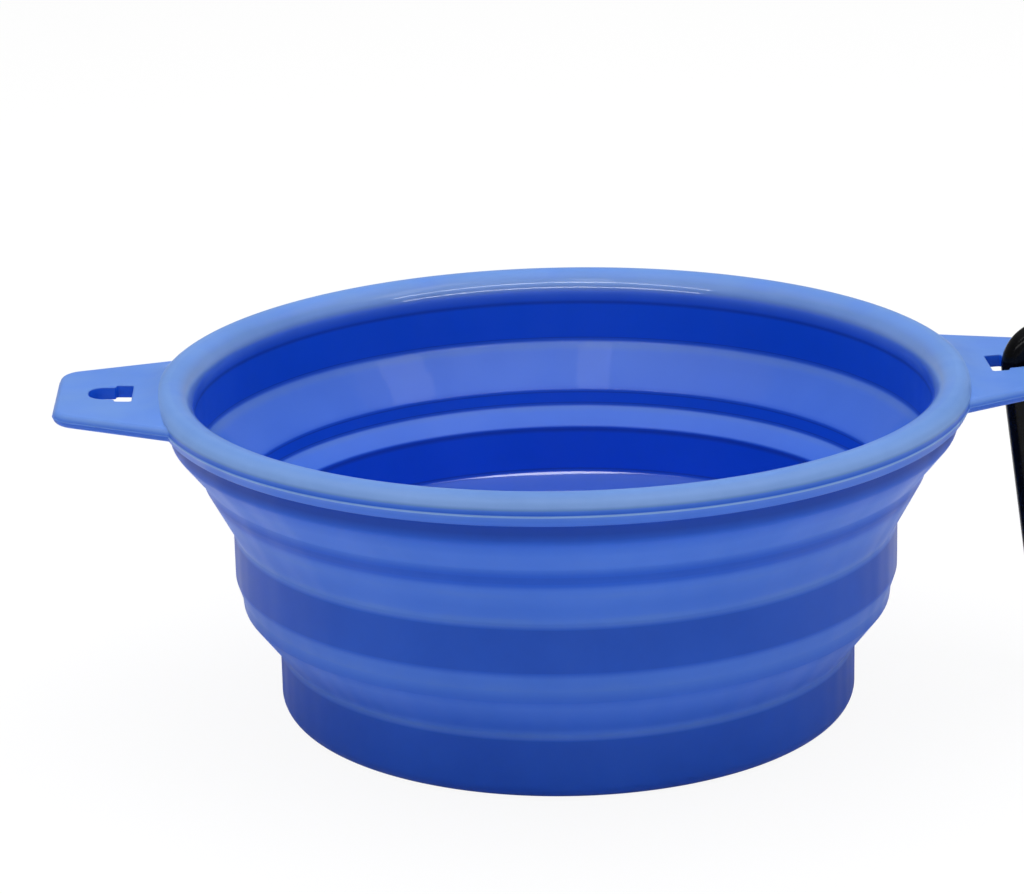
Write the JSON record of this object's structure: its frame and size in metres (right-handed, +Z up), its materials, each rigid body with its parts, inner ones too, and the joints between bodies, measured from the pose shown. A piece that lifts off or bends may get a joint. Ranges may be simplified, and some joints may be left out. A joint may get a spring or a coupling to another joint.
{
  "type": "collapsible silicone bowl",
  "caption": "Round collapsible silicone bowl with stepped folding walls, side tabs with keyholes and a spring-gated carabiner, for carrying and serving food or water.",
  "frame": {"origin": "centre of the flat underside of the base, on the surface that the open bowl stands on", "axes": "+Z up along the bowl's axis, +X through the tab that carries the carabiner, tabs along X"},
  "size_m": [0.185, 0.13, 0.0599],
  "materials": {
    "silicone": "satin moulded silicone, cornflower blue",
    "black_anodised": "gloss black anodised rod",
    "steel": "plain bright steel"
  },
  "bodies": {
    "rim": {"rim_ring": "silicone", "left_tab": "silicone", "right_tab": "silicone", "upper_fold": "silicone"},
    "middle": {"middle_band": "silicone", "lower_fold": "silicone"},
    "base": {"base_cup": "silicone"},
    "carabiner": {"carabiner_body": "black_anodised"},
    "gate": {"carabiner_gate": "black_anodised", "gate_hinge_pin": "steel", "gate_nose_pin": "steel", "gate_spring": "steel"},
    "plunger": {"gate_plunger": "steel"}
  },
  "joints": [
    {"name": "upper_fold_slide", "type": "slide", "parent": "rim", "child": "middle", "axis": [0, 0, 1], "range_m": [0, 0.0235], "deforming": ["upper_fold"]},
    {"name": "lower_fold_slide", "type": "slide", "parent": "middle", "child": "base", "axis": [0, 0, 1], "range_m": [0, 0.022], "deforming": ["lower_fold"]},
    {"name": "carabiner_swing", "type": "hinge", "parent": "rim", "child": "carabiner", "pos_m": [0.07784, 0, 0.05249], "axis": [0, -1, 0], "range_deg": [-32, 150]},
    {"name": "gate_hinge", "type": "hinge", "parent": "carabiner", "child": "gate", "pos_m": [0.08519, 0, 0.04991], "axis": [0, 1, 0], "range_deg": [0, 30], "stiffness_Nm_per_rad": 0.03, "springref_deg": -20.05},
    {"name": "plunger_slide", "type": "slide", "parent": "gate", "child": "plunger", "axis": [0.4733, 0, -0.8809], "range_m": [0, 0.0006], "deforming": ["gate_spring"]}
  ],
  "couplings": [
    {"joint": "plunger_slide", "follows": "gate_hinge", "m_per_rad": 0.0011}
  ]
}
